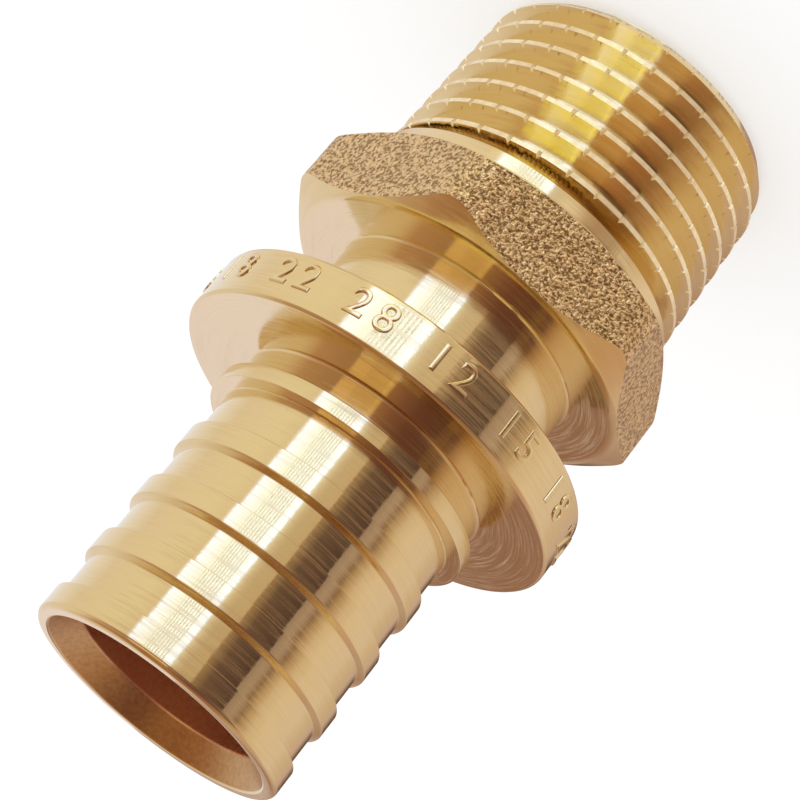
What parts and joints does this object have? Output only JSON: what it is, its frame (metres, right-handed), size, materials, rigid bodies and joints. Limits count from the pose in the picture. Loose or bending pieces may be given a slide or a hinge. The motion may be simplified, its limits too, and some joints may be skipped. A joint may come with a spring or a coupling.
{
  "type": "pipe adapter",
  "caption": "Straight brass pipe adapter: tapered male pipe thread, bevelled spanner hexagon, round flange and a ribbed spigot for a plastic pipe, with a through bore.",
  "frame": {"origin": "on the adapter's axis, in the plane of the threaded end's face, on which it stands", "axes": "+Z along the axis from the threaded end to the spigot's mouth; two flats of the hexagon face -Y and +Y, two of its corners -X and +X"},
  "size_m": [0.0264, 0.0264, 0.0489],
  "materials": {
    "brass": "bright turned brass, with blasted forged flats on the hexagon"
  },
  "bodies": {
    "root": {"adapter_body": "brass"}
  },
  "joints": []
}
